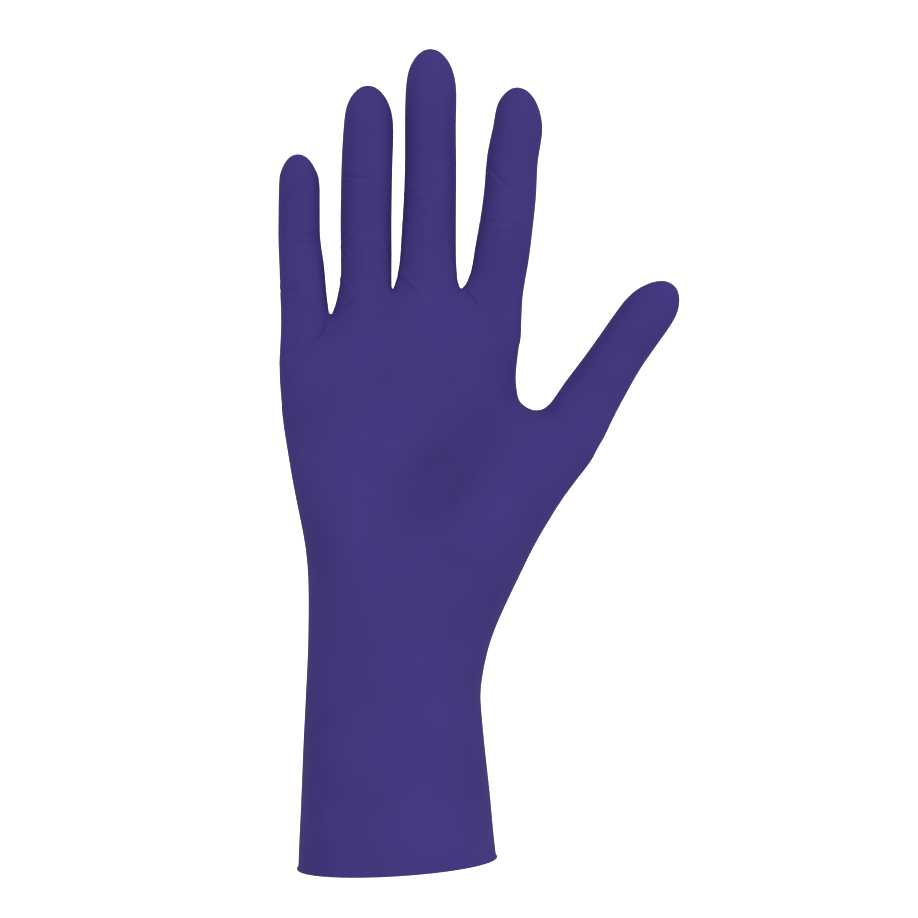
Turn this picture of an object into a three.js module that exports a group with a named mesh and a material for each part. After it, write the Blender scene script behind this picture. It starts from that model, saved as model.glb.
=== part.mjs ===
// Long-cuff nitrile exam glove for the right hand, as it stands when worn:
// one dipped film, open at the cuff, with its rolled bead, palm, thumb and four fingers.
// Millimetres. +Z runs from the cuff to the fingertips, the palm faces -Y, the thumb is at +X.
// The origin is the middle of the cuff's mouth, where the forearm goes in.

import * as THREE from 'three';

// Driving sizes of the film and its rolled edge
const wall = 1.0;
const beadRadius = 0.8;

// Driving sizes of the cuff
const cuffLength = 66;
const mouthWidth = 72.8;
const mouthDepth = 56;
const mouthTilt = 4.4;
const wristWidth = 64.6;
const wristDepth = 43;
const wristShift = -1.15;

// Driving sizes of the hand
const palmLength = 145.6;
const palmWidth = 89;
const palmDepth = 30;
const palmShift = 1.1;
const crotchHeight = 100.7;
const crotchAcross = 50;
const thumbRootReach = 73.6;
const thumbRootDrop = 14;
const thumbForward = 7;
const webRise = 1.4;
const backWebDrop = 9;

// Driving sizes of the thumb and fingers: length from the root's middle to the tip, and width
const thumbLength = 65.2;
const thumbWidth = 20;
const thumbLean = 36;
const indexLength = 83.2;
const indexWidth = 19.6;
const indexLean = 7.1;
const middleLength = 90.2;
const middleWidth = 19.2;
const middleLean = 1.1;
const ringLength = 81.5;
const ringWidth = 18.8;
const ringLean = 1.8;
const littleLength = 67.4;
const littleWidth = 16;
const littleLean = -2;
const fingerFlatness = 0.9;
const rootFade = 0.5;
const tipPointedness = 1.62;

const colour = 0x42387b;

// Points round a section: one finger's share of the front, the four fingers' share, the thumb's
// share, and a side
const FINGER_COUNT = 4;
const FINGER_STEPS = 4;
const PALM_STEPS = FINGER_COUNT * FINGER_STEPS;
const THUMB_STEPS = 4;
const SIDE_STEPS = 4;
const FRONT_STEPS = PALM_STEPS + THUMB_STEPS;

// Sections of the cuff. up: share of the cuff's length. left, right, deep: share of the way from
// the wrist's edge or depth to the mouth's.
const CUFF_SECTIONS = [
  { up: 0.18, left: 0.86, right: 0.79, deep: 0.93 },
  { up: 0.40, left: 0.63, right: 0.54, deep: 0.74 },
  { up: 0.63, left: 0.42, right: 0.23, deep: 0.45 },
  { up: 0.84, left: 0.19, right: 0.00, deep: 0.16 },
];

// Sections of the hand below the crotch of the thumb. up: share of the crotch's height above the
// wrist. left: share of the way from the wrist's edge to the palm's. right: share of the way from
// the wrist's edge to the thumb's root. drop: share of the root's drop at the thumb's side.
// front, back: depth there, as a share of the way from the wrist's depth to the palm's.
// square: how far the section is from an ellipse (0) to a squarer oval (1).
const HAND_SECTIONS = [
  { up: 0.000, left: 0.00, right: 0.000, drop: 0.00, front: 0.00, back: 0.00, square: 0.0 },
  { up: 0.139, left: -0.06, right: 0.067, drop: 0.00, front: 0.06, back: 0.14, square: 0.2 },
  { up: 0.258, left: -0.08, right: 0.174, drop: 0.00, front: 0.10, back: 0.28, square: 0.4 },
  { up: 0.377, left: -0.07, right: 0.305, drop: 0.00, front: 0.20, back: 0.44, square: 0.6 },
  { up: 0.497, left: 0.03, right: 0.444, drop: 0.00, front: 0.32, back: 0.60, square: 0.8 },
  { up: 0.616, left: 0.25, right: 0.578, drop: 0.14, front: 0.48, back: 0.74, square: 1.0 },
  { up: 0.735, left: 0.49, right: 0.712, drop: 0.36, front: 0.66, back: 0.86, square: 1.0 },
  { up: 0.854, left: 0.70, right: 0.862, drop: 0.61, front: 0.82, back: 0.95, square: 1.0 },
  { up: 0.934, left: 0.83, right: 0.950, drop: 0.82, front: 0.92, back: 0.98, square: 1.0 },
  { up: 1.000, left: 0.91, right: 1.000, drop: 1.00, front: 1.00, back: 1.00, square: 1.0 },
];

// Sections of the palm between the crotch of the thumb and the fingers' roots. up: share of that
// height. left, right: where the edge lies, as a share of the palm's half width. deep: share of
// the palm's depth. scallop: how far the film has settled between the fingers. square: as above.
const PALM_SECTIONS = [
  { up: 0.09, left: 0.980, right: 1.006, deep: 0.99, scallop: 0.00, square: 2.6 },
  { up: 0.22, left: 0.985, right: 0.972, deep: 0.98, scallop: 0.00, square: 2.1 },
  { up: 0.43, left: 0.992, right: 0.960, deep: 0.95, scallop: 0.02, square: 1.5 },
  { up: 0.65, left: 0.998, right: 0.972, deep: 0.91, scallop: 0.08, square: 1.1 },
  { up: 0.85, left: 1.000, right: 0.988, deep: 0.84, scallop: 0.26, square: 1.0 },
  { up: 1.00, left: 1.000, right: 1.004, deep: 0.76, scallop: 0.50, square: 1.0 },
];

// The fingers' roots, from the little finger's outer side to the index finger's. across: share of
// the palm's half width from its middle. up: share of the palm's length above the wrist.
const ROOTS = [
  { name: 'outside_little', across: -1.000, up: 0.852 },
  { name: 'little_ring', across: -0.583, up: 0.914 },
  { name: 'ring_middle', across: -0.066, up: 0.976 },
  { name: 'middle_index', across: 0.512, up: 0.979 },
  { name: 'outside_index', across: 1.000, up: 0.914 },
];
const ROOT_SAG = 0.035;

// How far the film settles between the fingers on the back, as a share of the front's
const BACK_SETTLING = 0.6;

// How much fuller than an ellipse the squarest section is
const SQUARENESS = 0.22;

// Swells and hollows of palm and back. across: share of the palm's half width. up: share of the
// palm's length above the wrist. wide, tall: spread as a share of the palm's width. lean: degrees
// from upright. proud: height as a share of the palm's depth.
const FRONT_SWELLS = [
  { name: 'thumb_ball', across: 0.78, up: 0.38, wide: 0.17, tall: 0.30, lean: 38, proud: 0.22 },
  { name: 'heel', across: -0.52, up: 0.36, wide: 0.14, tall: 0.27, lean: -6, proud: 0.13 },
  { name: 'hollow', across: 0.36, up: 0.57, wide: 0.11, tall: 0.26, lean: 42, proud: -0.17 },
  { name: 'thumb_web', across: 1.02, up: 0.71, wide: 0.075, tall: 0.15, lean: 20, proud: -0.20 },
  { name: 'little_pad', across: -0.74, up: 0.79, wide: 0.10, tall: 0.10, lean: 0, proud: 0.05 },
  { name: 'ring_pad', across: -0.30, up: 0.85, wide: 0.10, tall: 0.10, lean: 0, proud: 0.07 },
  { name: 'middle_pad', across: 0.22, up: 0.87, wide: 0.10, tall: 0.10, lean: 0, proud: 0.07 },
  { name: 'index_pad', across: 0.72, up: 0.84, wide: 0.10, tall: 0.10, lean: 6, proud: 0.07 },
];
const BACK_SWELLS = [
  { name: 'thumb_web', across: 1.02, up: 0.69, wide: 0.08, tall: 0.16, lean: 20, proud: -0.20 },
  { name: 'little_knuckle', across: -0.74, up: 0.74, wide: 0.08, tall: 0.10, lean: 0, proud: 0.05 },
  { name: 'ring_knuckle', across: -0.30, up: 0.80, wide: 0.08, tall: 0.11, lean: 0, proud: 0.07 },
  { name: 'middle_knuckle', across: 0.20, up: 0.82, wide: 0.09, tall: 0.12, lean: 0, proud: 0.08 },
  { name: 'index_knuckle', across: 0.68, up: 0.79, wide: 0.09, tall: 0.12, lean: 6, proud: 0.08 },
];

// Fingers from the little finger to the thumb. forward: how far the tip stands towards the palm
// side, as a share of the finger's length. A section's along is a share of the length, and its
// wide and drift, the middle's way off the straight axis, are shares of the finger's width, and
// so are tip and tipDrift, the width and drift where the rounded end begins.
const FINGERS = [
  {
    name: 'little', length: littleLength, width: littleWidth, lean: littleLean, forward: 0.16,
    tip: 0.93, tipDrift: 0,
    sections: [
      { along: 0.14, wide: 1.11, drift: -0.01 },
      { along: 0.28, wide: 1.06, drift: -0.02 },
      { along: 0.43, wide: 1.02, drift: -0.03 },
      { along: 0.58, wide: 0.96, drift: -0.05 },
    ],
  },
  {
    name: 'ring', length: ringLength, width: ringWidth, lean: ringLean, forward: 0.12,
    tip: 0.97, tipDrift: 0.02,
    sections: [
      { along: 0.13, wide: 1.02, drift: 0.04 },
      { along: 0.25, wide: 0.995, drift: 0.04 },
      { along: 0.40, wide: 1.00, drift: 0.02 },
      { along: 0.55, wide: 1.00, drift: 0.01 },
      { along: 0.68, wide: 0.995, drift: 0.01 },
    ],
  },
  {
    name: 'middle', length: middleLength, width: middleWidth, lean: middleLean, forward: 0.10,
    tip: 0.97, tipDrift: 0.02,
    sections: [
      { along: 0.12, wide: 1.12, drift: 0.02 },
      { along: 0.24, wide: 1.06, drift: 0.025 },
      { along: 0.39, wide: 1.015, drift: 0.035 },
      { along: 0.55, wide: 0.99, drift: 0.035 },
      { along: 0.70, wide: 0.98, drift: 0.02 },
    ],
  },
  {
    name: 'index', length: indexLength, width: indexWidth, lean: indexLean, forward: 0.12,
    tip: 0.93, tipDrift: 0.07,
    sections: [
      { along: 0.13, wide: 1.05, drift: 0.04 },
      { along: 0.26, wide: 1.045, drift: 0.065 },
      { along: 0.41, wide: 1.015, drift: 0.08 },
      { along: 0.56, wide: 0.99, drift: 0.075 },
      { along: 0.70, wide: 0.965, drift: 0.045 },
    ],
  },
  {
    name: 'thumb', length: thumbLength, width: thumbWidth, lean: thumbLean, forward: 0.10,
    tip: 0.96, tipDrift: -0.05,
    sections: [
      { along: 0.05, wide: 1.18, drift: 0.07 },
      { along: 0.13, wide: 1.13, drift: 0.055 },
      { along: 0.23, wide: 1.09, drift: 0.02 },
      { along: 0.38, wide: 1.02, drift: -0.01 },
      { along: 0.55, wide: 0.97, drift: -0.04 },
    ],
  },
];
const DOME_DEGREES = [0, 28, 50, 68];

// A finger's first point is at its front left; its forward bend grows along it by this power
const FIRST_DEGREES = -135;
const FORWARD_CURVE = 1.6;

// How the film evens itself out where fingers, thumb and palm meet. face, outline: the share of the
// way to its neighbours' middle that a point goes in each round, across, in depth and upwards, on
// front and back or on the sides. handRings, palmRings, loops: how many rings next to the meeting
// take part, of the hand, the palm and each finger.
const ROOT_EVENING = {
  rounds: 3, face: [0.3, 0.4, 0.3], outline: [0, 0.4, 0], palmRings: 3, loops: 2,
};
const CROTCH_EVENING = {
  rounds: 10, face: [0.3, 0.5, 0.3], outline: [0, 0.5, 0], handRings: 3, palmRings: 3, loops: 4,
};

const vertices = [];
const faces = [];

function put(x, y, z) {
  vertices.push(new THREE.Vector3(x, y, z));
  return vertices.length - 1;
}

function mix(a, b, share) {
  return a + (b - a) * share;
}

// Joins two closed rings of the same number of points by a band of four-sided faces.
function band(lower, upper) {
  const count = lower.length;
  for (let i = 0; i < count; i += 1) {
    const next = (i + 1) % count;
    faces.push([lower[i], lower[next], upper[next], upper[i]]);
  }
}

// Height of a swell table above its plain section, at a place on the hand.
function relief(swells, x, z) {
  let height = 0;
  for (const swell of swells) {
    const lean = THREE.MathUtils.degToRad(swell.lean);
    const dx = x - palmShift - swell.across * palmWidth / 2;
    const dz = z - cuffLength - swell.up * palmLength;
    const side = (dx * Math.cos(lean) - dz * Math.sin(lean)) / (swell.wide * palmWidth);
    const rise = (dx * Math.sin(lean) + dz * Math.cos(lean)) / (swell.tall * palmWidth);
    height += swell.proud * palmDepth * Math.exp(-(side * side + rise * rise) / 2);
  }
  return height;
}

// Angles of the points round a section with its front split at the thumb's side: front from left
// to right, right side, back from right to left, left side.
function sectionAngles(frontSteps, splitAt, splitDegrees) {
  const corner = 180 * SIDE_STEPS / (2 * (frontSteps + SIDE_STEPS));
  const front = [];
  for (let i = 0; i <= frontSteps; i += 1) {
    if (i <= splitAt) front.push(mix(-180 + corner, splitDegrees, i / splitAt));
    else front.push(mix(splitDegrees, -corner, (i - splitAt) / (frontSteps - splitAt)));
  }
  const side = [];
  for (let i = 1; i < SIDE_STEPS; i += 1) side.push(mix(-corner, corner, i / SIDE_STEPS));
  const back = front.map((angle) => -angle).reverse();
  const left = side.map((angle) => 180 + angle);
  return [...front, ...side, ...back, ...left].map(THREE.MathUtils.degToRad);
}

function power(value, exponent) {
  return Math.sign(value) * Math.abs(value) ** exponent;
}

// One closed ring of the cuff or hand below the crotch of the thumb.
function bodyRing(section) {
  const exponent = 1 / (1 + SQUARENESS * section.square);
  const angles = sectionAngles(FRONT_STEPS, PALM_STEPS, section.split);
  const half = (section.right - section.left) / 2;
  return angles.map((angle) => {
    const reach = power(Math.cos(angle), exponent);
    const x = (section.left + section.right) / 2 + half * reach;
    const across = (reach + 1) / 2;
    const fall = Math.max(0, (across - section.bend) / (1 - section.bend)) ** section.curve;
    const z = section.up + section.rise * fall;
    const onFront = Math.sin(angle) < 0;
    const depth = power(Math.sin(angle), exponent);
    const forward = -section.forward * Math.max(0, reach) ** 2;
    const swell = relief(onFront ? FRONT_SWELLS : BACK_SWELLS, x, z) * section.relief;
    const y = depth * ((onFront ? section.front : section.back) + swell) + forward;
    return put(x, y, z);
  });
}

function cuffEdges(share) {
  return {
    left: mix(wristShift - wristWidth / 2, -mouthWidth / 2, share.left),
    right: mix(wristShift + wristWidth / 2, mouthWidth / 2, share.right),
    depth: mix(wristDepth, mouthDepth, share.deep) / 2,
  };
}

// Degrees round the section at which the front turns from the fingers' share to the thumb's, at the
// cuff and at the crotch
const PLAIN_SPLIT = -45;
const CROTCH_SPLIT = -54;

// The hand's sections fall towards the thumb from this share of the way across, by this power
const FALL_FROM = 0.72;
const FALL_CURVE = 1.15;

// Swells and hollows are whole from this share of the crotch's height on
const SWELLS_FROM = 0.3;

function cuffRing(share) {
  const edges = cuffEdges(share);
  const tilt = mouthTilt * (1 - share.up);
  return bodyRing({
    left: edges.left,
    right: edges.right,
    up: share.up * cuffLength - tilt / 2,
    rise: tilt,
    bend: 0,
    curve: 1,
    front: edges.depth,
    back: edges.depth,
    forward: 0,
    relief: 0,
    square: 0,
    split: PLAIN_SPLIT,
  });
}

function handRing(share) {
  return bodyRing({
    left: mix(wristShift - wristWidth / 2, palmShift - palmWidth / 2, share.left),
    right: mix(wristShift + wristWidth / 2, thumbRootReach, share.right),
    up: cuffLength + share.up * crotchHeight,
    rise: -thumbRootDrop * share.drop,
    bend: FALL_FROM,
    curve: FALL_CURVE,
    front: mix(wristDepth, palmDepth, share.front) / 2,
    back: mix(wristDepth, palmDepth, share.back) / 2,
    forward: thumbForward * share.up,
    relief: Math.min(1, share.up / SWELLS_FROM),
    square: share.square,
    split: mix(PLAIN_SPLIT, CROTCH_SPLIT, share.up),
  });
}

// Height of the line of the fingers' roots at a share of the way across the front, point by point.
function rootHeight(step) {
  const finger = Math.min(FINGER_COUNT - 1, Math.floor(step / FINGER_STEPS));
  const within = step / FINGER_STEPS - finger;
  const height = mix(ROOTS[finger].up, ROOTS[finger + 1].up, within);
  return cuffLength + palmLength * (height - ROOT_SAG * Math.sin(Math.PI * within) ** 2);
}

function rootAcross(step) {
  const finger = Math.min(FINGER_COUNT - 1, Math.floor(step / FINGER_STEPS));
  const within = step / FINGER_STEPS - finger;
  return mix(ROOTS[finger].across, ROOTS[finger + 1].across, within);
}

// One closed ring of the palm above the crotch of the thumb. Front and back have their points in
// columns, which run from the crotch's ring to the fingers' roots. columns: their places there, as
// shares of the way from the first to the last.
function palmRing(share, columns) {
  const angles = sectionAngles(PALM_STEPS, PALM_STEPS / 2, -90);
  const exponent = 1 / (1 + SQUARENESS * share.square);
  const half = palmWidth / 2;
  const corner = power(Math.cos(angles[PALM_STEPS]), exponent);
  const rearCorner = 2 * PALM_STEPS + SIDE_STEPS;
  return angles.map((angle, i) => {
    const onFront = i <= PALM_STEPS;
    const onSide = (i > PALM_STEPS && i < PALM_STEPS + SIDE_STEPS) || i > rearCorner;
    const onRight = Math.cos(angle) > 0;
    const sideStep = onRight ? PALM_STEPS : 0;
    const facingStep = onFront ? i : rearCorner - i;
    const step = onSide ? sideStep : facingStep;
    const column = mix(columns[step], (rootAcross(step) + 1) / 2, share.up);
    const facing = corner * mix(-share.left, share.right, column);
    const reach = power(Math.cos(angle), exponent) * (onRight ? share.right : share.left);
    const x = palmShift + half * (onSide ? reach : facing);

    const facingBehind = onFront ? 0 : 1;
    const behind = onSide ? 0.5 + 0.5 * Math.sin(angle) : facingBehind;
    const rise = mix(cuffLength + crotchHeight, rootHeight(step), share.up);
    const z = rise - backWebDrop * share.up * behind;

    const off = Math.abs(x - palmShift) / (half * (x > palmShift ? share.right : share.left));
    const bulge = Math.max(0, 1 - off ** (2 / exponent)) ** (exponent / 2);
    const inner = !onSide && step > 0 && step < PALM_STEPS;
    const webs = Math.cos(Math.PI * step / FINGER_STEPS) ** 2 * (onFront ? 1 : BACK_SETTLING);
    const swell = relief(Math.sin(angle) < 0 ? FRONT_SWELLS : BACK_SWELLS, x, z);
    const depth = (palmDepth / 2 * share.deep + swell) * (inner ? 1 - share.scallop * webs : 1);
    return put(x, Math.sign(Math.sin(angle)) * bulge * depth, z);
  });
}

// The points of a web between its front and its back point, over its crest near the front.
const CREST_SHARE = 0.35;
function webPath(front, back, crest) {
  const a = vertices[front];
  const b = vertices[back];
  const lift = crest.z - mix(a.z, b.z, CREST_SHARE);
  const points = [];
  for (let i = 1; i < SIDE_STEPS; i += 1) {
    const share = i / SIDE_STEPS;
    const over = Math.sin(Math.PI * share ** (Math.log(0.5) / Math.log(CREST_SHARE)));
    const x = mix(mix(a.x, b.x, share), crest.x, over);
    points.push(put(x, mix(a.y, b.y, share), mix(a.z, b.z, share) + lift * over));
  }
  return points;
}

// A finger or the thumb, lofted from its root ring to its rounded tip. Its first rings keep part of
// the root's form, which fades along the finger.
function finger(plan, root) {
  const lean = THREE.MathUtils.degToRad(plan.lean);
  const middle = new THREE.Vector3();
  for (const index of root) middle.add(vertices[index]);
  middle.divideScalar(root.length);
  const left = vertices[root[root.length - SIDE_STEPS / 2]];
  const right = vertices[root[FINGER_STEPS + SIDE_STEPS / 2]];
  middle.x = (left.x + right.x) / 2;
  middle.z = (left.z + right.z) / 2;
  const ahead = new THREE.Vector3(Math.sin(lean), 0, Math.cos(lean));
  const aside = new THREE.Vector3(Math.cos(lean), 0, -Math.sin(lean));
  const rootHalf = right.clone().sub(left).dot(aside) / 2;
  const rootForm = root.map((index) => {
    const offset = vertices[index].clone().sub(middle);
    return { along: offset.dot(ahead), sideways: offset.dot(aside) / rootHalf, depth: offset.y };
  });
  const tipHalf = plan.tip * plan.width / 2;
  const domeLength = tipHalf * tipPointedness;
  const rings = plan.sections.map((section) => ({
    along: section.along * plan.length,
    half: section.wide * plan.width / 2,
    drift: section.drift * plan.width,
  }));
  for (const degrees of DOME_DEGREES) {
    const angle = THREE.MathUtils.degToRad(degrees);
    rings.push({
      along: plan.length - domeLength * (1 - Math.sin(angle)),
      half: tipHalf * Math.cos(angle),
      drift: plan.tipDrift * plan.width * (1 - Math.sin(angle)),
    });
  }
  const place = (along, drift, sideways, depth) => {
    const share = Math.max(0, along / plan.length);
    const forward = -plan.forward * plan.length * share ** FORWARD_CURVE;
    return middle.clone()
      .addScaledVector(ahead, along)
      .addScaledVector(aside, drift + sideways)
      .add(new THREE.Vector3(0, forward + depth, 0));
  };
  const loops = [root];
  for (const ring of rings) {
    const lower = loops[loops.length - 1];
    const upper = [];
    const kept = Math.max(0, 1 - ring.along / (rootFade * plan.length)) ** 2;
    for (let i = 0; i < root.length; i += 1) {
      const angle = THREE.MathUtils.degToRad(FIRST_DEGREES + 360 * i / root.length);
      const sideways = ring.half * mix(Math.cos(angle), rootForm[i].sideways, kept);
      const depth = mix(ring.half * fingerFlatness * Math.sin(angle), rootForm[i].depth, kept);
      const along = ring.along + rootForm[i].along * kept;
      const point = place(along, ring.drift, sideways, depth);
      upper.push(put(point.x, point.y, point.z));
    }
    band(lower, upper);
    loops.push(upper);
  }
  fingertip(loops[loops.length - 1], rings[rings.length - 1].half, tipHalf, domeLength, plan, place);
  return loops;
}

// The end of a finger: a small net of four by four faces over the last ring.
function fingertip(ring, ringHalf, tipHalf, domeLength, plan, place) {
  const side = ring.length / 4;
  const net = [];
  for (let row = 0; row <= side; row += 1) {
    net.push([]);
    for (let column = 0; column <= side; column += 1) {
      const u = 2 * column / side - 1;
      const v = 2 * row / side - 1;
      if (row === 0) net[row].push(ring[column]);
      else if (row === side) net[row].push(ring[3 * side - column]);
      else if (column === side) net[row].push(ring[side + row]);
      else if (column === 0) net[row].push(ring[4 * side - row]);
      else {
        const sideways = ringHalf * u * Math.sqrt(1 - v * v / 2);
        const depth = ringHalf * v * Math.sqrt(1 - u * u / 2);
        const radial = Math.hypot(sideways, depth) / tipHalf;
        const along = plan.length - domeLength * (1 - Math.sqrt(1 - radial * radial));
        const point = place(along, 0, sideways, depth * fingerFlatness);
        net[row].push(put(point.x, point.y, point.z));
      }
    }
  }
  for (let row = 0; row < side; row += 1) {
    for (let column = 0; column < side; column += 1) {
      faces.push([
        net[row][column], net[row][column + 1], net[row + 1][column + 1], net[row + 1][column],
      ]);
    }
  }
}

// Lets the film even itself out at the points that are named. Near neighbours pull harder.
function evenOut(moving, outline, evening) {
  const neighbours = new Map(moving.map((index) => [index, new Set()]));
  for (const face of faces) {
    face.forEach((index, i) => {
      if (!neighbours.has(index)) return;
      neighbours.get(index).add(face[(i + 1) % face.length]);
      neighbours.get(index).add(face[(i + face.length - 1) % face.length]);
    });
  }
  for (let round = 0; round < evening.rounds; round += 1) {
    const targets = moving.map((index) => {
      const mean = new THREE.Vector3();
      let pulls = 0;
      for (const other of neighbours.get(index)) {
        const pull = 1 / vertices[other].distanceTo(vertices[index]);
        mean.addScaledVector(vertices[other], pull);
        pulls += pull;
      }
      return mean.divideScalar(pulls);
    });
    moving.forEach((index, i) => {
      const share = outline.has(index) ? evening.outline : evening.face;
      const way = targets[i].sub(vertices[index]);
      vertices[index].add(way.multiply(new THREE.Vector3(...share)));
    });
  }
}

// The outer skin
const mouthRing = cuffRing({ up: 2 * beadRadius / cuffLength, left: 1, right: 1, deep: 1 });
let top = mouthRing;
for (const share of CUFF_SECTIONS) {
  const ring = cuffRing(share);
  band(top, ring);
  top = ring;
}
const handRings = [];
for (const share of HAND_SECTIONS) {
  const ring = handRing(share);
  band(top, ring);
  top = ring;
  handRings.push(ring);
}

// The crotch of the thumb parts the last ring into the palm's and the thumb's
const lastFront = FRONT_STEPS;
const firstBack = lastFront + SIDE_STEPS;
const backSplit = firstBack + THUMB_STEPS;
const lastBack = firstBack + FRONT_STEPS;
const crotch = new THREE.Vector3(crotchAcross, 0, cuffLength + crotchHeight);
const crotchWeb = webPath(top[PALM_STEPS], top[backSplit], crotch);
const palmRoot = [
  ...top.slice(0, PALM_STEPS + 1),
  ...crotchWeb,
  ...top.slice(backSplit, lastBack + 1),
  ...top.slice(lastBack + 1),
];
const thumbRoot = [
  ...top.slice(PALM_STEPS, lastFront + 1),
  ...top.slice(lastFront + 1, firstBack),
  ...top.slice(firstBack, backSplit + 1),
  ...[...crotchWeb].reverse(),
];

let palmTop = palmRoot;
const palmRings = [];
const columnAt = (step) => vertices[top[step]].x;
const columns = palmRoot.slice(0, PALM_STEPS + 1).map((_, step) => (
  (columnAt(step) - columnAt(0)) / (columnAt(PALM_STEPS) - columnAt(0))
));
for (const share of PALM_SECTIONS) {
  const ring = palmRing(share, columns);
  band(palmTop, ring);
  palmTop = ring;
  palmRings.push(ring);
}

// The webs part the palm's last ring into the four fingers' roots
const palmBackStart = PALM_STEPS + SIDE_STEPS;
const frontPoint = (step) => palmTop[step];
const backPoint = (step) => palmTop[palmBackStart + PALM_STEPS - step];
const webs = [palmTop.slice(palmBackStart + PALM_STEPS + 1).reverse()];
for (let i = 1; i < FINGER_COUNT; i += 1) {
  const front = frontPoint(i * FINGER_STEPS);
  const crest = vertices[front].clone().add(new THREE.Vector3(0, 0, webRise));
  webs.push(webPath(front, backPoint(i * FINGER_STEPS), crest));
}
webs.push(palmTop.slice(PALM_STEPS + 1, palmBackStart));

const roots = [];
for (let i = 0; i < FINGER_COUNT; i += 1) {
  const root = [];
  for (let step = 0; step <= FINGER_STEPS; step += 1) root.push(frontPoint(i * FINGER_STEPS + step));
  root.push(...webs[i + 1]);
  for (let step = FINGER_STEPS; step >= 0; step -= 1) root.push(backPoint(i * FINGER_STEPS + step));
  root.push(...[...webs[i]].reverse());
  roots.push(root);
}
roots.push(thumbRoot);
const fingerLoops = FINGERS.map((plan, i) => finger(plan, roots[i]));
const thumbLoops = fingerLoops.pop();

// The film evens itself out between the fingers' roots and round the crotch of the thumb
const outline = new Set(crotchWeb);
function markOutline(rings, steps) {
  for (const ring of rings) {
    for (let i = 0; i <= SIDE_STEPS; i += 1) {
      outline.add(ring[steps + i]);
      outline.add(ring[(2 * steps + SIDE_STEPS + i) % ring.length]);
    }
  }
}
markOutline(handRings, FRONT_STEPS);
markOutline(palmRings, PALM_STEPS);
for (const loops of [...fingerLoops, thumbLoops]) markOutline(loops.slice(1), FINGER_STEPS);
const rootFilm = [
  ...palmRings.slice(-ROOT_EVENING.palmRings),
  ...fingerLoops.flatMap((loops) => loops.slice(0, ROOT_EVENING.loops)),
];
const crotchFilm = [
  ...handRings.slice(-CROTCH_EVENING.handRings),
  ...palmRings.slice(0, CROTCH_EVENING.palmRings),
  ...thumbLoops.slice(0, CROTCH_EVENING.loops),
];
evenOut([...new Set(rootFilm.flat())], outline, ROOT_EVENING);
evenOut([...new Set(crotchFilm.flat())], outline, CROTCH_EVENING);

// The inner skin lies one wall inside the outer one
const skinVertices = vertices.length;
const skinFaces = faces.slice();
const normals = vertices.map(() => new THREE.Vector3());
for (const face of skinFaces) {
  const [a, b, c, d] = face.map((index) => vertices[index]);
  const normal = c.clone().sub(a).cross(d.clone().sub(b));
  for (const index of face) normals[index].add(normal);
}
for (let i = 0; i < skinVertices; i += 1) {
  const inside = vertices[i].clone().addScaledVector(normals[i].normalize(), -wall);
  put(inside.x, inside.y, inside.z);
}
for (const face of skinFaces) {
  faces.push([...face].reverse().map((index) => index + skinVertices));
}

// The rolled bead joins the two skins round the mouth, tangent to the inner one
const BEAD_STEPS = 6;
const beadOffset = beadRadius - wall;
const beadStart = Math.acos(-beadOffset / beadRadius);
const beadHeight = beadRadius * Math.sin(beadStart);
let rim = mouthRing;
for (let step = 1; step <= BEAD_STEPS; step += 1) {
  const angle = mix(beadStart, -Math.PI, step / BEAD_STEPS);
  const ring = mouthRing.map((index) => {
    const outwards = new THREE.Vector3(normals[index].x, normals[index].y, 0).normalize();
    const point = vertices[index].clone()
      .addScaledVector(outwards, beadOffset + beadRadius * Math.cos(angle));
    return put(point.x, point.y, point.z - beadHeight + beadRadius * Math.sin(angle));
  });
  band(ring, rim);
  rim = ring;
}
band(mouthRing.map((index) => index + skinVertices), rim);

// Each four-sided face is cut along its longer diagonal
const triangles = [];
for (const [a, b, c, d] of faces) {
  const first = vertices[a].distanceTo(vertices[c]);
  const second = vertices[b].distanceTo(vertices[d]);
  if (first >= second) triangles.push(a, b, c, a, c, d);
  else triangles.push(a, b, d, b, c, d);
}

const geometry = new THREE.BufferGeometry();
const positions = new Float32Array(vertices.flatMap((point) => [point.x, point.y, point.z]));
geometry.setAttribute('position', new THREE.BufferAttribute(positions, 3));
geometry.setIndex(triangles);
geometry.computeVertexNormals();

const film = new THREE.MeshStandardMaterial({ color: colour, roughness: 0.5, metalness: 0 });
const glove = new THREE.Mesh(geometry, film);
glove.name = 'glove';

const part = new THREE.Group();
part.add(glove);

export default part;
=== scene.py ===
"""Nitrile exam glove with a long cuff, in the shape it has when worn on a right hand.

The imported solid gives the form. The film seen here is its outer skin made smooth, with the creases,
folds and slack that a thin film has, a thin inner skin, and the rolled bead at the cuff's mouth.
"""

import math

import bmesh
import bpy
import numpy as np
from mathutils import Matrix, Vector, kdtree, noise


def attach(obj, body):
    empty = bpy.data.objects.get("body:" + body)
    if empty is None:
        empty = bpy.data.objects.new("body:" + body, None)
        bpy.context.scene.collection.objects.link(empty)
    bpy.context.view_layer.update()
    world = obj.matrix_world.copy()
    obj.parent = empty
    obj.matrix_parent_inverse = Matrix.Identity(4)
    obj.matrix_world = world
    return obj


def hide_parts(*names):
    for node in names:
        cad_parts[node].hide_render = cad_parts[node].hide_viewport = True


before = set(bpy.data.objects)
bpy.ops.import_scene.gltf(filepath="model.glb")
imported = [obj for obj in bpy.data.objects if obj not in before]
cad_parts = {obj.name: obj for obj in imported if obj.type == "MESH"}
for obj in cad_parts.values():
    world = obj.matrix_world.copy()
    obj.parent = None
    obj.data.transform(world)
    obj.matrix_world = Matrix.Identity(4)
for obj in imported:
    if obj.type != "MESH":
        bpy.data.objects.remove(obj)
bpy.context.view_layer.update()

MM = 0.001

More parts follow.
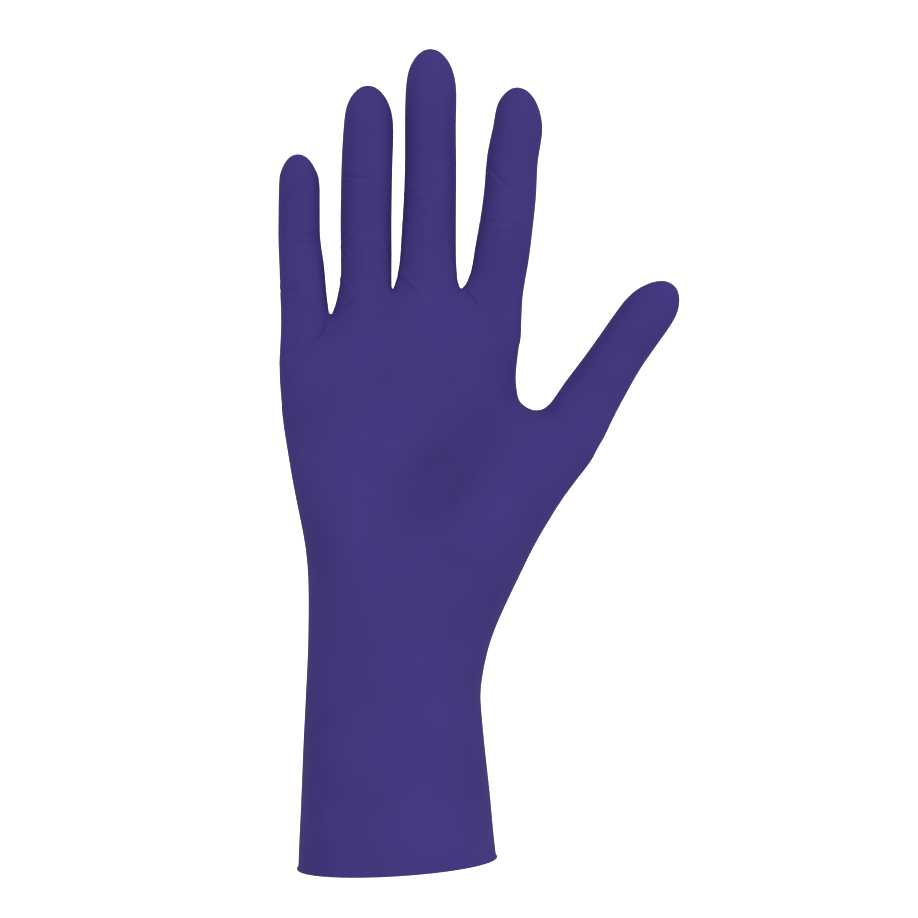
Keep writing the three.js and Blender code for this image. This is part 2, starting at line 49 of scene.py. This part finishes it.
# The camera stands level in front of the palm. Sizes in millimetres.
CAMERA_DISTANCE = 870.0
CAMERA_ACROSS = 22.8
CAMERA_UP = 148.7
VIEW_ACROSS = 337.8
SENSOR = 36.0

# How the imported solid's skin is told apart and refined. WELD and SAME_PLACE are distances in metres
# below which points are one. The solid's bead has small faces, all below BEAD_TOP. Rings of quads
# are cut to edges of about RING_TARGET, with at most MOST_CUTS cuts. DETAIL_REACH is how far from a
# crease, in millimetres, the film is finer. TURN_START, in radians, lies between two vertices.
WELD = 1e-6
SAME_PLACE = 10 * WELD
BEAD_FACE_AREA = 4e-6
BEAD_TOP = 6 * MM
RING_TARGET = 3.1 * MM
MOST_CUTS = 3
LIMIT_ROUNDS = 4
DETAIL_REACH = 2.6
TURN_START = 3.2

# Soft studio light: where most of it comes from, its strength all round, and what that adds
LIGHT_FROM = (0.38, -1.3, 0.45)
LIGHT_ALL_ROUND = 0.642
LIGHT_TOWARDS = 0.736

# A dimmer part of the surround behind the glove, which keeps its edges from glaring: how far it
# reaches, as cosines of the angle from straight behind, and what it leaves of the light
DIM_BEHIND = (0.60, 0.94)
DIM_LEAVES = 0.45

# The film's thickness at the mouth and above it, the heights between which it changes, and the
# rolled bead with its middle's place from the film's edge, in millimetres. The bead's section runs
# from BEAD_FROM degrees through BEAD_ROUND degrees.
FILM_AT_MOUTH = 0.2
FILM_ABOVE = 0.7
FILM_RISE = (1.0, 14.0)
BEAD_RADIUS = 0.45
BEAD_DROP = 1.25
BEAD_OUT = 0.10
BEAD_STEPS = 9
BEAD_FROM = 100
BEAD_ROUND = 270

# A crease's form, in half widths: how far its lip lies from its middle, how wide that lip is, how
# far it reaches at most, and how far the crease runs past its ends. FADE_BEFORE is the share of its
# length at which it is nothing, just before its end.
LIP_AWAY = 1.9
LIP_WIDE = 1.3
CREASE_REACH = 6
PAST_END = 2
FADE_BEFORE = -0.02

# Where creases of the front and the back fade in, and where the film is finer for them, by how far
# the film faces away from the camera: -1 straight towards it, 1 straight away
FRONT_FADE = (0.30, -0.20)
BACK_FADE = (-0.05, 0.35)
FRONT_REFINED = 0.35
BACK_REFINED = -0.05

# The film's dye, dullness and grain. scale and detail are those of the noise that varies each.
DYE = {"scale": 42, "detail": 3}
DYE_COLOURS = {0.3: (0.0472, 0.0330, 0.181, 1), 0.7: (0.0522, 0.0370, 0.196, 1)}
DULLNESS = {"scale": 260, "detail": 4}
ROUGHNESS = (0.40, 0.52)
GRAIN = {"scale": 1900, "detail": 3}
GRAIN_STRENGTH = 0.12
GRAIN_DEPTH = 0.08 * MM
SPECULAR = 0.03

# The white surround, in metres
FLOOR_SIZE = 12
FLOOR_BELOW = 1.0
SURROUND_RADIUS = 8


def row(name, points, deep, wide, lip=0.0, side=1, start=0.25, end=0.25):
    """A crease. points: (across, up) on the front as the camera sees it, in millimetres."""
    return {
        "name": name, "points": points, "deep": deep, "wide": wide,
        "lip": lip, "side": side, "start": start, "end": end,
    }


# Creases of the palm side. deep: depth of the groove. wide: its half width. lip: height of the
# fold beside it, as a share of its depth. side: 1 for a lip above the groove, -1 for below.
# start, end: share of the length over which it fades in and out. Millimetres.
FRONT_CREASES = [
    row("little_middle", [(-40.1, 230.6), (-35.0, 230.9), (-29.0, 230.8)], 0.47, 0.55, 0.9, -1, 0.3, 0.2),
    row("little_low_a", [(-43.6, 214.3), (-38.6, 214.0)], 0.27, 0.5, 0.4, 1, 0.1, 0.5),
    row("little_low_b", [(-43.6, 210.6), (-34.6, 210.7)], 0.39, 0.5, 0.5, 1, 0.1, 0.4),
    row("little_root_up", [(-43.0, 187.2), (-37.9, 190.8), (-33.6, 193.4)], 0.44, 0.6, 0.6, -1, 0.1, 0.3),
    row("little_root", [(-35.6, 191.2), (-31.6, 191.9), (-28.5, 194.3), (-26.5, 198.0), (-24.9, 202.0)],
        0.55, 0.65, 0.5, -1, 0.3, 0.1),
    row("ring_top", [(-20.4, 252.6), (-11.8, 251.9), (-5.2, 250.0)], 0.56, 0.55, 0.5, -1, 0.1, 0.25),
    row("ring_mid_a", [(-16.6, 232.2), (-7.7, 232.6)], 0.41, 0.5, 0.4, -1),
    row("ring_mid_b", [(-20.4, 231.0), (-15.8, 228.9)], 0.55, 0.5, 0.5, -1, 0.1, 0.4),
    row("ring_mid_c", [(-14.6, 228.4), (-5.4, 227.8)], 0.56, 0.5, 0.5, -1),
    row("ring_edge_a", [(-20.6, 227.8), (-14.7, 224.0)], 0.34, 0.55, 0.6, -1, 0.1, 0.5),
    row("ring_edge_b", [(-20.8, 223.8), (-16.6, 221.0)], 0.26, 0.55, 0.5, -1, 0.1, 0.5),
    row("ring_edge_c", [(-20.9, 216.4), (-15.1, 211.8)], 0.39, 0.6, 0.6, -1, 0.1, 0.4),
    row("ring_root_up", [(-19.6, 204.9), (-14.9, 207.6), (-10.2, 208.1)], 0.52, 0.55, 0.7, -1, 0.1, 0.3),
    row("ring_root", [(-18.4, 197.6), (-12.5, 201.5), (-6.6, 205.8)], 0.34, 0.6, 0.7, 1, 0.3, 0.3),
    row("middle_top_a", [(3.0, 250.4), (12.5, 248.8)], 0.46, 0.5, 0.4, -1, 0.3, 0.5),
    row("middle_top_b", [(2.0, 247.6), (6.5, 246.4)], 0.52, 0.55, 0.5, -1, 0.4, 0.5),
    row("middle_top_c", [(2.4, 244.4), (12.9, 244.0)], 0.52, 0.5, 0.6, -1, 0.3, 0.4),
    row("middle_top_d", [(2.0, 241.4), (12.1, 238.6), (19.4, 237.3)], 0.58, 0.55, 0.5, -1, 0.25, 0.4),
    row("middle_edge", [(1.6, 237.4), (5.9, 235.2)], 0.36, 0.6, 0.6, -1, 0.35, 0.5),
    row("middle_root", [(-0.4, 216.5), (5.2, 212.0), (8.0, 209.1)], 0.44, 0.6, 0.6, 1, 0.1, 0.3),
    row("middle_root_b", [(4.0, 216.9), (9.4, 216.2)], 0.32, 0.5, 0.4, 1),
    row("web_middle_tick", [(24.0, 210.4), (23.5, 205.6)], 0.26, 0.5, 0.4, 1, 0.1, 0.4),
    row("index_web", [(24.8, 211.0), (30.2, 204.8)], 0.47, 0.6, 0.7, 1, 0.1, 0.3),
    row("index_root", [(29.0, 210.6), (36.2, 204.6), (40.4, 202.3)], 0.42, 0.6, 0.9, -1, 0.15, 0.35),
    row("index_top", [(32.6, 257.4), (37.9, 251.0), (41.6, 246.9)], 0.42, 0.6, 0.7, -1, 0.25, 0.3),
    row("index_mid_a", [(29.8, 236.5), (41.6, 234.6), (49.2, 234.2)], 0.53, 0.5, 0.5, -1, 0.1, 0.3),
    row("index_mid_b", [(33.5, 232.6), (48.6, 232.1)], 0.43, 0.5, 0.6, -1),
    row("palm_short", [(32.8, 179.3), (36.8, 182.2)], 0.25, 0.6, 0.4, 1),
    row("thumb_joint", [(89.4, 210.0), (102.4, 210.4)], 0.26, 0.6, 0.4, -1),
]

# Creases of the back, where the film is slack over the knuckles and drawn into the webs
BACK_CREASES = [
    row("little_knuckle", [(-42.5, 231.0), (-36.5, 231.8), (-30.0, 230.6)], 0.14, 0.7, 0.6, 1, 0.35, 0.35),
    row("little_knuckle_b", [(-42.0, 227.6), (-35.0, 228.2)], 0.10, 0.6, 0.5, 1, 0.35, 0.35),
    row("ring_knuckle", [(-18.5, 239.0), (-10.5, 240.0), (-4.0, 238.6)], 0.14, 0.7, 0.6, 1, 0.35, 0.35),
    row("ring_knuckle_b", [(-14.0, 235.4), (-5.0, 235.8)], 0.10, 0.6, 0.5, 1, 0.35, 0.35),
    row("middle_knuckle", [(4.2, 243.4), (12.5, 244.6), (20.0, 243.2)], 0.15, 0.7, 0.6, 1, 0.35, 0.35),
    row("middle_knuckle_b", [(4.0, 239.4), (13.5, 240.4)], 0.11, 0.6, 0.5, 1, 0.35, 0.35),
    row("index_knuckle", [(33.0, 240.2), (41.0, 240.6), (48.0, 238.2)], 0.14, 0.7, 0.6, 1, 0.35, 0.35),
    row("index_knuckle_b", [(36.0, 236.2), (47.0, 234.6)], 0.10, 0.6, 0.5, 1, 0.35, 0.35),
    row("little_web", [(-24.9, 201.4), (-29.0, 194.5), (-32.0, 189.0)], 0.26, 0.7, 0.6, 1, 0.1, 0.5),
    row("ring_web", [(-23.9, 201.0), (-19.0, 194.5)], 0.22, 0.7, 0.6, 1, 0.1, 0.5),
    row("middle_web", [(-1.4, 210.5), (-5.0, 203.5)], 0.24, 0.7, 0.6, 1, 0.1, 0.5),
    row("middle_web_b", [(-0.8, 210.5), (4.0, 202.5)], 0.20, 0.7, 0.6, 1, 0.1, 0.5),
    row("index_web", [(24.3, 209.5), (28.5, 202.0)], 0.24, 0.7, 0.6, 1, 0.1, 0.5),
    row("index_web_b", [(23.5, 209.5), (19.5, 202.5)], 0.20, 0.7, 0.6, 1, 0.1, 0.5),
]

# Slack of the film: size of the swells in millimetres, their height, and how much longer they are
# along the arm than across it
SLACK = [
    {"size": 34.0, "high": 0.16, "stretch": 2.4, "at": (3.1, 7.7, 1.9)},
    {"size": 9.0, "high": 0.035, "stretch": 1.6, "at": (11.3, 2.9, 5.3)},
]


# Painted shade over the palm's hollow: the film's colour is dimmed there to stand for the hollow's
# shade. The hollow's middle, its reach across, in depth and along, its lean in degrees, the shade,
# and how far in from its edge the shade is full, as a share of the reach
HOLLOW_PAINTED_SHADE = {
    "middle": (21.0, -14.0, 146.5), "reach": (19.0, 26.0, 50.0), "lean": 43.0,
    "shade": (0.88, 0.88, 0.88), "full_at": 0.7,
}


def linked(name, mesh):
    thing = bpy.data.objects.new(name, mesh)
    bpy.context.scene.collection.objects.link(thing)
    return thing


def places(mesh):
    co = np.empty(len(mesh.vertices) * 3, np.float32)
    mesh.vertices.foreach_get("co", co)
    return co.reshape(-1, 3).astype(float)


def put_places(mesh, co):
    mesh.vertices.foreach_set("co", co.astype(np.float32).ravel())
    mesh.update()


def normals(mesh):
    out = np.empty(len(mesh.vertices) * 3, np.float32)
    mesh.vertex_normals.foreach_get("vector", out)
    return out.reshape(-1, 3).astype(float)


def ramp(value, start, end):
    """0 at start, 1 at end, and smooth between them."""
    share = np.clip((value - start) / (end - start), 0, 1)
    return share * share * (3 - 2 * share)


def outer_skin(node):
    """The solid's outer skin without its bead, in quads, as a new mesh."""
    bm = bmesh.new()
    bm.from_mesh(node.data)
    bmesh.ops.remove_doubles(bm, verts=bm.verts, dist=WELD)
    bead = [
        f for f in bm.faces
        if f.calc_area() < BEAD_FACE_AREA and f.calc_center_median().z < BEAD_TOP
    ]
    bmesh.ops.delete(bm, geom=bead, context="FACES")
    top = max(bm.verts, key=lambda v: v.co.z)
    skin, edge = {top}, [top]
    while edge:
        here = edge.pop()
        for e in here.link_edges:
            other = e.other_vert(here)
            if other not in skin:
                skin.add(other)
                edge.append(other)
    bmesh.ops.delete(bm, geom=[v for v in bm.verts if v not in skin], context="VERTS")
    longest = {f: max(f.edges, key=lambda e: e.calc_length()) for f in bm.faces}
    cuts = [
        e for e in bm.edges
        if len(e.link_faces) == 2 and all(longest[f] is e for f in e.link_faces)
    ]
    bmesh.ops.dissolve_edges(bm, edges=cuts, use_verts=False, use_face_split=False)
    left_over = [f for f in bm.faces if len(f.verts) == 3]
    bmesh.ops.join_triangles(
        bm, faces=left_over, angle_face_threshold=math.pi, angle_shape_threshold=math.pi,
    )
    mesh = bpy.data.meshes.new("skin")
    bm.to_mesh(mesh)
    bm.free()
    return mesh


def subdivided(mesh, levels, on_limit=True):
    """A smooth copy of the mesh, whose vertices lie on the smooth surface if on_limit is true."""
    carrier = linked("carrier", mesh)
    smooth = carrier.modifiers.new("smooth", "SUBSURF")
    smooth.levels = smooth.render_levels = levels
    smooth.quality = 5
    smooth.use_limit_surface = on_limit
    smooth.boundary_smooth = "ALL"
    seen = carrier.evaluated_get(bpy.context.evaluated_depsgraph_get())
    out = bpy.data.meshes.new_from_object(seen)
    bpy.data.objects.remove(carrier)
    return out


def pass_through(mesh):
    """Moves the mesh's vertices so that its smooth surface passes through where they were."""
    wanted = places(mesh)
    held = wanted.copy()
    for _ in range(LIMIT_ROUNDS):
        put_places(mesh, held)
        smooth = subdivided(mesh, 1)
        held += wanted - places(smooth)[: len(wanted)]
        bpy.data.meshes.remove(smooth)
    put_places(mesh, held)


def mean_length(edges):
    return sum(e.calc_length() for e in edges) / len(edges)


def cut_long_rings(mesh, target):
    """Cuts each ring of quads whose edges are much longer than target, all along the ring."""
    bm = bmesh.new()
    bm.from_mesh(mesh)
    ring_of, rings = {}, []
    for first in bm.edges:
        if first in ring_of:
            continue
        ring, todo = [], [first]
        ring_of[first] = ring
        while todo:
            e = todo.pop()
            ring.append(e)
            for loop in e.link_loops:
                if len(loop.face.verts) != 4:
                    continue
                across = loop.link_loop_next.link_loop_next.edge
                if across not in ring_of:
                    ring_of[across] = ring
                    todo.append(across)
        rings.append(ring)
    for cuts in range(1, MOST_CUTS + 1):
        wanted = [
            e for ring in rings for e in ring
            if min(MOST_CUTS, round(mean_length(ring) / target) - 1) == cuts
        ]
        if wanted:
            bmesh.ops.subdivide_edges(bm, edges=wanted, cuts=cuts, use_grid_fill=True)
        rings = [[e for e in ring if e.is_valid] for ring in rings]
        rings = [ring for ring in rings if ring and not set(ring) & set(wanted)]
    bm.to_mesh(mesh)
    bm.free()


def seen_from_camera(co):
    """Where each point is seen, on the plane through the origin that faces the camera, in mm."""
    x, y, z = (co / MM).T
    near = CAMERA_DISTANCE / (CAMERA_DISTANCE + y)
    return CAMERA_ACROSS + (x - CAMERA_ACROSS) * near, CAMERA_UP + (z - CAMERA_UP) * near


def along_crease(x, z, points):
    """(distance, signed distance, share of the length) of each point from a line of points."""
    points = np.array(points, float)
    steps = np.diff(points, axis=0)
    lengths = np.hypot(*steps.T)
    before = np.concatenate([[0], np.cumsum(lengths)])
    best = np.full(len(x), 1e9)
    signed, share = np.zeros(len(x)), np.zeros(len(x))
    for start, step, length, passed in zip(points, steps, lengths, before):
        away = np.stack([x - start[0], z - start[1]], 1)
        on = np.clip(away @ step / length**2, 0, 1)
        gap = away - on[:, None] * step
        here = np.hypot(*gap.T)
        above = step[0] * away[:, 1] - step[1] * away[:, 0]
        nearer = here < best
        best = np.where(nearer, here, best)
        signed = np.where(nearer, here * np.sign(above), signed)
        share = np.where(nearer, (passed + on * length) / before[-1], share)
    return best, signed, share


def crease_depth(x, z, crease):
    """How far a crease moves each point outwards, in millimetres."""
    away, signed, share = along_crease(x, z, crease["points"])
    upward = -1 if crease["points"][-1][0] < crease["points"][0][0] else 1
    wide = crease["wide"]
    groove = -np.exp(-((away / wide) ** 2))
    lip_at = signed * upward * crease["side"] - LIP_AWAY * wide
    lip = crease["lip"] * np.exp(-((lip_at / (LIP_WIDE * wide)) ** 2)) * (away < CREASE_REACH * wide)
    fade = ramp(share, FADE_BEFORE, crease["start"]) * ramp(1 - share, FADE_BEFORE, crease["end"])
    past_end = np.exp(-((np.maximum(away - PAST_END * wide, 0) / wide) ** 2))
    return crease["deep"] * (groove + lip * past_end) * fade


def relief(co, way):
    """How far each point of the film stands off the smooth form, in millimetres."""
    x, z = seen_from_camera(co)
    front = ramp(way[:, 1], *FRONT_FADE)
    back = ramp(way[:, 1], *BACK_FADE)
    off = np.zeros(len(co))
    for creases, share in ((FRONT_CREASES, front), (BACK_CREASES, back)):
        for crease in creases:
            xs, zs = zip(*crease["points"])
            room = CREASE_REACH * crease["wide"]
            near = (
                (x > min(xs) - room) & (x < max(xs) + room)
                & (z > min(zs) - room) & (z < max(zs) + room) & (share > 0)
            )
            off[near] += share[near] * crease_depth(x[near], z[near], crease)
    return off


def slack(co):
    """How far the film's slack moves each point outwards, in millimetres."""
    off = np.zeros(len(co))
    for swell in SLACK:
        sizes = np.array([swell["size"], swell["size"], swell["size"] * swell["stretch"]]) * MM
        spots = co / sizes + swell["at"]
        off += swell["high"] * np.array([noise.noise(Vector(p)) for p in spots])
    return off


def crease_reach(mesh):
    """Marks the faces near a crease with material index 1, and the others with 0."""
    co, way = places(mesh), normals(mesh)
    x, z = seen_from_camera(co)
    near = np.zeros(len(co), bool)
    front, back = way[:, 1] < FRONT_REFINED, way[:, 1] > BACK_REFINED
    for creases, side in ((FRONT_CREASES, front), (BACK_CREASES, back)):
        for crease in creases:
            away = along_crease(x, z, crease["points"])[0]
            near |= side & (away < DETAIL_REACH)
    for face in mesh.polygons:
        face.material_index = int(any(near[v] for v in face.vertices))


def keep_faces(mesh, index):
    """The mesh's faces with this material index, as an open bmesh."""
    bm = bmesh.new()
    bm.from_mesh(mesh)
    other = [f for f in bm.faces if f.material_index != index]
    bmesh.ops.delete(bm, geom=other, context="FACES")
    return bm


def refined(mesh):
    """The smooth surface: coarse where the film is plain, and finer around the creases."""
    crease_reach(mesh)
    plain, fine = keep_faces(subdivided(mesh, 1), 0), keep_faces(subdivided(mesh, 2), 1)
    rim = [v for v in fine.verts if v.is_boundary]
    tree = kdtree.KDTree(len(rim))
    for i, v in enumerate(rim):
        tree.insert(v.co, i)
    tree.balance()
    beside = {v: {e.other_vert(v) for e in v.link_edges if e.is_boundary} for v in rim}
    for e in [e for e in plain.edges if e.is_boundary]:
        ends = [tree.find(v.co) for v in e.verts]
        if any(end[2] > SAME_PLACE for end in ends):
            continue
        between = beside[rim[ends[0][1]]] & beside[rim[ends[1][1]]]
        if between:
            middle = bmesh.utils.edge_split(e, e.verts[0], 0.5)[1]
            middle.co = between.pop().co
    part = bpy.data.meshes.new("fine")
    fine.to_mesh(part)
    fine.free()
    plain.from_mesh(part)
    bmesh.ops.remove_doubles(plain, verts=plain.verts, dist=SAME_PLACE)
    out = bpy.data.meshes.new("film")
    plain.to_mesh(out)
    plain.free()
    return out


def turn(vertex):
    """The vertex's angle round the mouth, from a start between two vertices."""
    return (math.atan2(vertex.co.y, vertex.co.x) + TURN_START) % (2 * math.pi)


def mouth_ring(bm, faces):
    """The open edge's vertices, in order round the mouth."""
    ring = {
        v for v in bm.verts
        if v.is_boundary and v.co.z < BEAD_TOP and v.link_faces[0] in faces
    }
    return sorted(ring, key=turn)


def film(mesh, inner):
    """One mesh of the outer skin, the inner skin and the rolled bead between them."""
    co, way = places(mesh), normals(mesh)
    put_places(mesh, co + way * (relief(co, way) + slack(co))[:, None] * MM)
    co, way = places(inner), normals(inner)
    height = co[:, 2] / MM
    thick = FILM_AT_MOUTH + (FILM_ABOVE - FILM_AT_MOUTH) * ramp(height, *FILM_RISE)
    put_places(inner, co + way * (relief(co, way) + slack(co) - thick)[:, None] * MM)
    inner.flip_normals()

    bm = bmesh.new()
    bm.from_mesh(mesh)
    outside = set(bm.faces)
    first = mouth_ring(bm, outside)
    bm.from_mesh(inner)
    last = mouth_ring(bm, set(bm.faces) - outside)

    middle = sum((v.co for v in first), Vector()) / len(first)
    rings = [first]
    for step in range(1, BEAD_STEPS + 1):
        round_bead = math.radians(BEAD_FROM - BEAD_ROUND * step / BEAD_STEPS)
        ring = []
        for v in first:
            out = Vector((v.co.x - middle.x, v.co.y - middle.y, 0)).normalized()
            centre = v.co + Vector((0, 0, -BEAD_DROP * MM)) + out * BEAD_OUT * MM
            round_way = out * math.cos(round_bead) + Vector((0, 0, math.sin(round_bead)))
            ring.append(bm.verts.new(centre + round_way * BEAD_RADIUS * MM))
        rings.append(ring)
    for low, high in zip(rings, rings[1:]):
        for i in range(len(first)):
            j = (i + 1) % len(first)
            bm.faces.new((low[i], high[i], high[j], low[j]))
    join_rings(bm, rings[-1], last)
    bmesh.ops.recalc_face_normals(bm, faces=bm.faces)
    out = bpy.data.meshes.new("glove_film")
    bm.to_mesh(out)
    bm.free()
    return out


def join_rings(bm, fine, coarse):
    """Faces between two rings in the same order, of which the second has fewer vertices."""
    i = j = 0
    n, m = len(fine), len(coarse)
    while i < n or j < m:
        a, b = fine[i % n], coarse[j % m]
        next_a = turn(fine[i % n]) if i < n else math.inf
        next_b = turn(coarse[j % m]) if j < m else math.inf
        if i < n and (j >= m or next_a <= next_b):
            other = fine[(i + 1) % n]
            i += 1
        else:
            other = coarse[(j + 1) % m]
            j += 1
        bm.faces.new((a, other, b))


def varied(nodes, links, where, noise_of):
    """A noise over the object's own coordinates."""
    made = nodes.new("ShaderNodeTexNoise")
    made.inputs["Scale"].default_value = noise_of["scale"]
    made.inputs["Detail"].default_value = noise_of["detail"]
    links.new(where.outputs["Object"], made.inputs["Vector"])
    return made.outputs["Fac"]


def dye(nodes, links, where):
    """The film's slightly uneven indigo."""
    colours = nodes.new("ShaderNodeValToRGB")
    stops = colours.color_ramp.elements
    for stop, (position, colour) in zip(stops, DYE_COLOURS.items()):
        stop.position = position
        stop.color = colour
    links.new(varied(nodes, links, where, DYE), colours.inputs["Fac"])
    return colours.outputs["Color"]


def hollow_painted_shade_mask(nodes, links, where):
    """Mask of the painted shade: 1 in the middle of the palm's hollow, falling to 0 at its edge."""
    hollow = nodes.new("ShaderNodeMapping")
    hollow.vector_type = "TEXTURE"
    hollow.inputs["Location"].default_value = Vector(HOLLOW_PAINTED_SHADE["middle"]) * MM
    hollow.inputs["Rotation"].default_value = (0, math.radians(HOLLOW_PAINTED_SHADE["lean"]), 0)
    hollow.inputs["Scale"].default_value = Vector(HOLLOW_PAINTED_SHADE["reach"]) * MM
    links.new(where.outputs["Object"], hollow.inputs["Vector"])
    within = nodes.new("ShaderNodeTexGradient")
    within.gradient_type = "SPHERICAL"
    links.new(hollow.outputs["Vector"], within.inputs["Vector"])
    eased = nodes.new("ShaderNodeMapRange")
    eased.interpolation_type = "SMOOTHSTEP"
    eased.inputs["From Max"].default_value = HOLLOW_PAINTED_SHADE["full_at"]
    links.new(within.outputs["Fac"], eased.inputs["Value"])
    return eased.outputs["Result"]


def glove_material():
    """Satin indigo nitrile: a smooth film with a fine dull grain, and painted shade over the palm's
    hollow.
    """
    made = bpy.data.materials.new("nitrile_film")
    made.use_nodes = True
    nodes, links = made.node_tree.nodes, made.node_tree.links
    shader = nodes["Principled BSDF"]
    shader.inputs["Specular IOR Level"].default_value = SPECULAR
    where = nodes.new("ShaderNodeTexCoord")

    # Painted shade: the dye is multiplied by the shade over the palm's hollow
    painted_shade_mix = nodes.new("ShaderNodeMix")
    painted_shade_mix.data_type = "RGBA"
    painted_shade_mix.blend_type = "MULTIPLY"
    painted_shade_mix.inputs["B"].default_value = (*HOLLOW_PAINTED_SHADE["shade"], 1)
    links.new(hollow_painted_shade_mask(nodes, links, where), painted_shade_mix.inputs["Factor"])
    links.new(dye(nodes, links, where), painted_shade_mix.inputs["A"])
    links.new(painted_shade_mix.outputs["Result"], shader.inputs["Base Color"])

    rough = nodes.new("ShaderNodeMapRange")
    rough.inputs["To Min"].default_value, rough.inputs["To Max"].default_value = ROUGHNESS
    links.new(varied(nodes, links, where, DULLNESS), rough.inputs["Value"])
    links.new(rough.outputs["Result"], shader.inputs["Roughness"])

    bump = nodes.new("ShaderNodeBump")
    bump.inputs["Strength"].default_value = GRAIN_STRENGTH
    bump.inputs["Distance"].default_value = GRAIN_DEPTH
    links.new(varied(nodes, links, where, GRAIN), bump.inputs["Height"])
    links.new(bump.outputs["Normal"], shader.inputs["Normal"])
    return made


def build_glove():
    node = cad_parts["glove"]
    skin = outer_skin(node)
    pass_through(skin)
    closer = subdivided(skin, 1, on_limit=False)
    inner = subdivided(skin, 1)
    cut_long_rings(closer, RING_TARGET)
    mesh = film(refined(closer), inner)
    for face in mesh.polygons:
        face.material_index = 0
        face.use_smooth = True
    mesh.materials.clear()
    mesh.materials.append(glove_material())
    glove = linked("glove_film", mesh)
    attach(glove, "root")
    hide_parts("glove")
    return glove


def glowing_white(name):
    made = bpy.data.materials.new(name)
    made.use_nodes = True
    shader = made.node_tree.nodes["Principled BSDF"]
    shader.inputs["Base Color"].default_value = (0.9, 0.9, 0.9, 1)
    shader.inputs["Roughness"].default_value = 0.9
    shader.inputs["Emission Color"].default_value = (1, 1, 1, 1)
    shader.inputs["Emission Strength"].default_value = 1.0
    return made


def surround(name, thing):
    """A white stage piece that is seen behind the glove and casts no light on it."""
    thing.name = name
    thing.data.materials.append(glowing_white(name + "_white"))
    thing.visible_diffuse = thing.visible_glossy = thing.visible_transmission = False
    thing.visible_shadow = False


def soft_light():
    """Even studio light from all round, stronger from the upper right in front of the palm."""
    world = bpy.data.worlds.new("studio")
    bpy.context.scene.world = world
    world.use_nodes = True
    nodes, links = world.node_tree.nodes, world.node_tree.links
    where = nodes.new("ShaderNodeTexCoord")
    facing = nodes.new("ShaderNodeVectorMath")
    facing.operation = "DOT_PRODUCT"
    facing.inputs[1].default_value = Vector(LIGHT_FROM).normalized()
    links.new(where.outputs["Generated"], facing.inputs[0])
    bright = nodes.new("ShaderNodeMapRange")
    bright.inputs["To Min"].default_value = LIGHT_ALL_ROUND
    bright.inputs["To Max"].default_value = LIGHT_ALL_ROUND + LIGHT_TOWARDS
    links.new(facing.outputs["Value"], bright.inputs["Value"])
    behind = nodes.new("ShaderNodeVectorMath")
    behind.operation = "DOT_PRODUCT"
    behind.inputs[1].default_value = (0, 1, 0)
    links.new(where.outputs["Generated"], behind.inputs[0])
    dim = nodes.new("ShaderNodeMapRange")
    dim.interpolation_type = "SMOOTHSTEP"
    dim.inputs["From Min"].default_value, dim.inputs["From Max"].default_value = DIM_BEHIND
    dim.inputs["To Min"].default_value = 1
    dim.inputs["To Max"].default_value = DIM_LEAVES
    links.new(behind.outputs["Value"], dim.inputs["Value"])
    both = nodes.new("ShaderNodeMath")
    both.operation = "MULTIPLY"
    links.new(bright.outputs["Result"], both.inputs[0])
    links.new(dim.outputs["Result"], both.inputs[1])
    links.new(both.outputs["Value"], nodes["Background"].inputs["Strength"])
    nodes["Background"].inputs["Color"].default_value = (1, 1, 1, 1)


def studio():
    """A plain white floor and surround with soft light."""
    bpy.ops.mesh.primitive_plane_add(size=FLOOR_SIZE, location=(0, 0, -FLOOR_BELOW))
    surround("studio_floor", bpy.context.object)
    bpy.ops.mesh.primitive_uv_sphere_add(segments=48, ring_count=24, radius=SURROUND_RADIUS)
    surround("studio_surround", bpy.context.object)
    soft_light()
    bpy.context.scene.view_settings.view_transform = "Standard"
    bpy.context.scene.view_settings.look = "None"


def camera():
    """A level camera, square to the palm, that sees VIEW_ACROSS at the glove."""
    lens = bpy.data.cameras.new("camera")
    lens.sensor_width = SENSOR
    lens.lens = SENSOR * CAMERA_DISTANCE / VIEW_ACROSS
    lens.clip_start, lens.clip_end = 0.05, 50
    eye = bpy.data.objects.new("camera", lens)
    eye.location = (CAMERA_ACROSS * MM, -CAMERA_DISTANCE * MM, CAMERA_UP * MM)
    eye.rotation_euler = (math.pi / 2, 0, 0)
    bpy.context.scene.collection.objects.link(eye)
    bpy.context.scene.camera = eye


build_glove()
studio()
camera()
